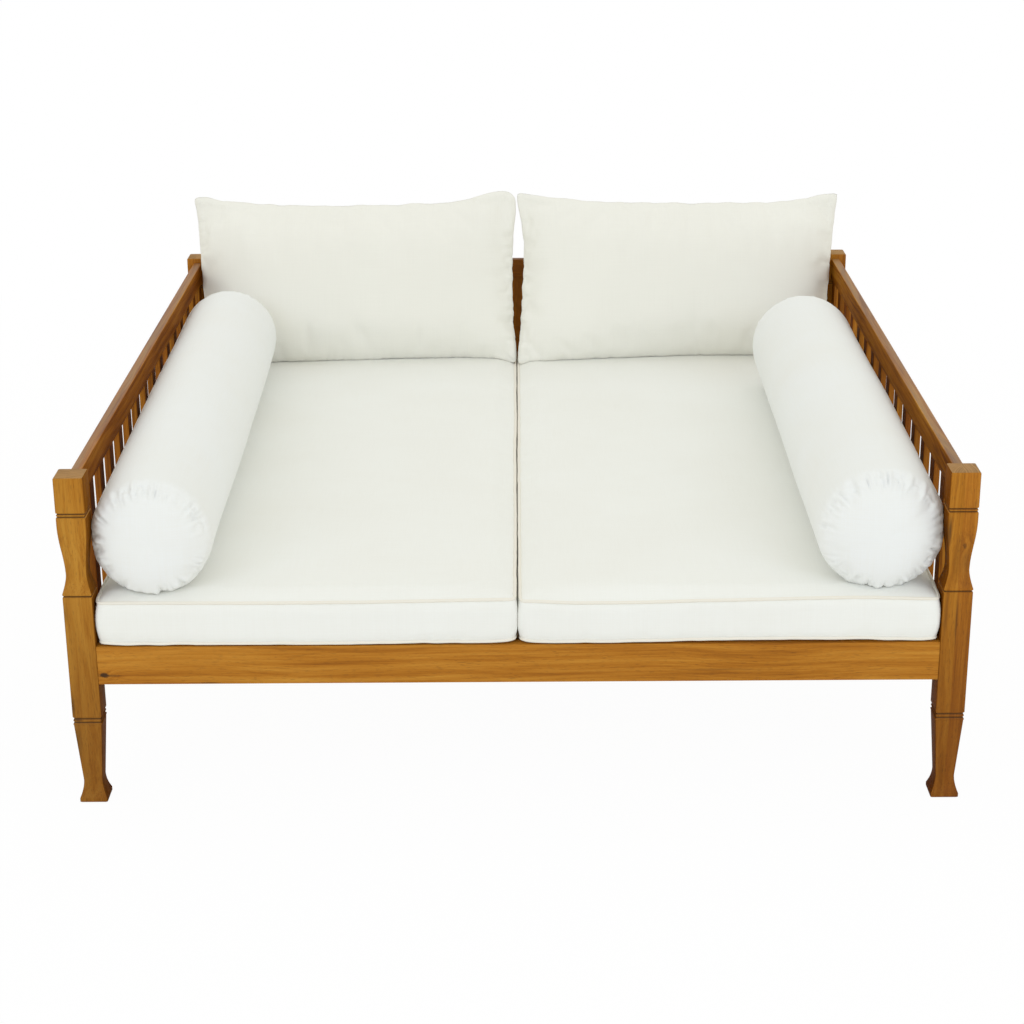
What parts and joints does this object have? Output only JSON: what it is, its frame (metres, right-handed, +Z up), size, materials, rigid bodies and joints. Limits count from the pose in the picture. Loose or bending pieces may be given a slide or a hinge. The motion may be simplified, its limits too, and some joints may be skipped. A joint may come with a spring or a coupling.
{
  "type": "outdoor daybed",
  "caption": "Low square outdoor daybed with shaped wooden posts, slatted sides and back, seat cushions, back cushions and long round bolsters.",
  "frame": {"origin": "on the floor under the middle of the footprint", "axes": "+Z up, the front faces -Y, +X to the right seen from the front"},
  "size_m": [1.54, 1.59, 0.7533],
  "materials": {
    "oiled_wood": "oiled golden brown hardwood, satin, with straight grain and eased edges",
    "inner_wood": "the same hardwood, planed and lightly oiled",
    "canvas": "off-white woven outdoor canvas with self piping",
    "zinc_steel": "folded and zinc plated",
    "screw_steel": "stainless, plain",
    "nylon": "dark nylon"
  },
  "bodies": {
    "frame": {"front_left_post": "oiled_wood", "front_right_post": "oiled_wood", "rear_left_post": "oiled_wood", "rear_right_post": "oiled_wood", "front_apron": "oiled_wood", "rear_apron": "oiled_wood", "left_apron": "oiled_wood", "right_apron": "oiled_wood", "left_top_rail": "oiled_wood", "right_top_rail": "oiled_wood", "back_top_rail": "oiled_wood", "left_side_slats": "oiled_wood", "right_side_slats": "oiled_wood", "back_slats": "oiled_wood", "centre_leg": "oiled_wood", "left_ledger": "inner_wood", "right_ledger": "inner_wood", "centre_bearer": "inner_wood", "seat_slat_1": "inner_wood", "seat_slat_2": "inner_wood", "seat_slat_3": "inner_wood", "seat_slat_4": "inner_wood", "seat_slat_5": "inner_wood", "seat_slat_6": "inner_wood", "seat_slat_7": "inner_wood", "seat_slat_8": "inner_wood", "seat_slat_9": "inner_wood", "seat_slat_10": "inner_wood", "seat_slat_11": "inner_wood", "seat_slat_12": "inner_wood", "seat_slat_13": "inner_wood", "seat_slat_14": "inner_wood", "front_bearer_hanger": "zinc_steel", "rear_bearer_hanger": "zinc_steel", "front_left_bracket": "zinc_steel", "front_right_bracket": "zinc_steel", "rear_left_bracket": "zinc_steel", "rear_right_bracket": "zinc_steel", "hanger_bolts": "screw_steel", "hanger_nuts": "screw_steel", "centre_leg_bolt": "screw_steel", "bracket_screws": "screw_steel", "ledger_screws": "screw_steel", "slat_screws": "screw_steel", "foot_glides": "nylon"},
    "left_seat": {"left_seat_cushion": "canvas"},
    "right_seat": {"right_seat_cushion": "canvas"},
    "left_back": {"left_back_cushion": "canvas"},
    "left_roll": {"left_bolster": "canvas"},
    "right_back": {"right_back_cushion": "canvas"},
    "right_roll": {"right_bolster": "canvas"}
  },
  "joints": [
    {"name": "left_seat_lift", "type": "slide", "parent": "frame", "child": "left_seat", "axis": [0, 0, 1], "range_m": [0, 0.35]},
    {"name": "right_seat_lift", "type": "slide", "parent": "frame", "child": "right_seat", "axis": [0, 0, 1], "range_m": [0, 0.35]},
    {"name": "left_back_lift", "type": "slide", "parent": "left_seat", "child": "left_back", "axis": [0, 0, 1], "range_m": [0, 0.25]},
    {"name": "left_roll_lift", "type": "slide", "parent": "left_seat", "child": "left_roll", "axis": [0, 0, 1], "range_m": [0, 0.25]},
    {"name": "right_back_lift", "type": "slide", "parent": "right_seat", "child": "right_back", "axis": [0, 0, 1], "range_m": [0, 0.25]},
    {"name": "right_roll_lift", "type": "slide", "parent": "right_seat", "child": "right_roll", "axis": [0, 0, 1], "range_m": [0, 0.25]}
  ]
}
